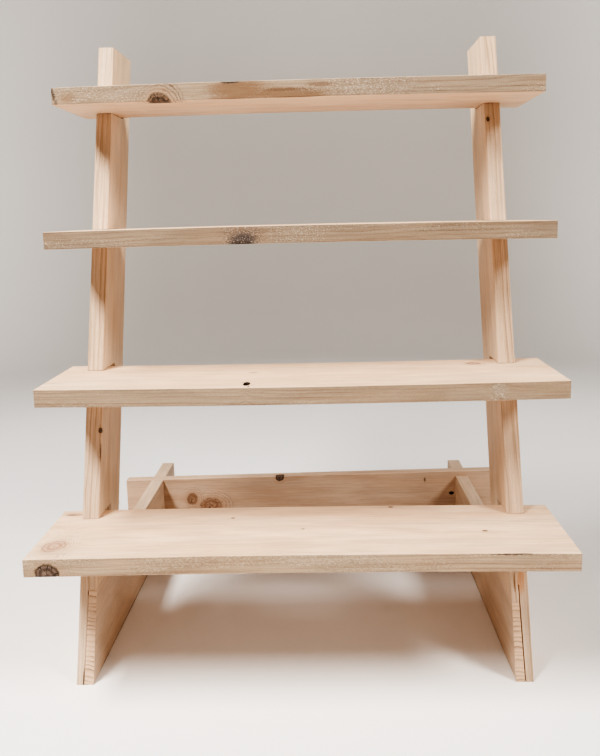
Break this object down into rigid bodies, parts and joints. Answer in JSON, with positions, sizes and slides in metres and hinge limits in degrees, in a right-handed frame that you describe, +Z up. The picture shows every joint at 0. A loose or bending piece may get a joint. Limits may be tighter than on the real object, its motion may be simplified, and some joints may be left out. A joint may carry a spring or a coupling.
{
  "type": "tiered display rack",
  "caption": "Bare softwood step rack: plain shelves slotted into leaning uprights, with half-lapped base rails and a notched rear cross rail that lifts off.",
  "frame": {"origin": "on the floor, under the middle of the whole rack", "axes": "+Z up, +Y from the shelves' front edges towards the back, +X to the right seen from the front"},
  "size_m": [0.5472, 0.5662, 0.677],
  "materials": {
    "planed_pine": "bare planed softwood, matt",
    "rail_pine": "bare sawn softwood, matt",
    "brad_steel": "dull bright steel"
  },
  "bodies": {
    "stand": {"upright_left": "planed_pine", "upright_right": "planed_pine", "base_rail_left": "rail_pine", "base_rail_right": "rail_pine", "lap_brad_left_lower": "brad_steel", "lap_brad_left_upper": "brad_steel", "lap_brad_right_lower": "brad_steel", "lap_brad_right_upper": "brad_steel"},
    "cross_rail": {"rear_cross_rail": "rail_pine"},
    "bottom_shelf": {"shelf_bottom": "planed_pine"},
    "lower_middle_shelf": {"shelf_lower_middle": "planed_pine"},
    "upper_middle_shelf": {"shelf_upper_middle": "planed_pine"},
    "top_shelf": {"shelf_top": "planed_pine"}
  },
  "joints": [
    {"name": "cross_rail_lift", "type": "slide", "parent": "stand", "child": "cross_rail", "axis": [0, 0, 1], "range_m": [0, 0.045]},
    {"name": "bottom_shelf_slide", "type": "slide", "parent": "stand", "child": "bottom_shelf", "axis": [0, -1, 0], "range_m": [-0.0235, 0.036]},
    {"name": "lower_middle_shelf_slide", "type": "slide", "parent": "stand", "child": "lower_middle_shelf", "axis": [0, -1, 0], "range_m": [-0.0205, 0.039]},
    {"name": "upper_middle_shelf_slide", "type": "slide", "parent": "stand", "child": "upper_middle_shelf", "axis": [0, -1, 0], "range_m": [-0.0135, 0.046]},
    {"name": "top_shelf_slide", "type": "slide", "parent": "stand", "child": "top_shelf", "axis": [0, -1, 0], "range_m": [-0.0085, 0.051]}
  ]
}
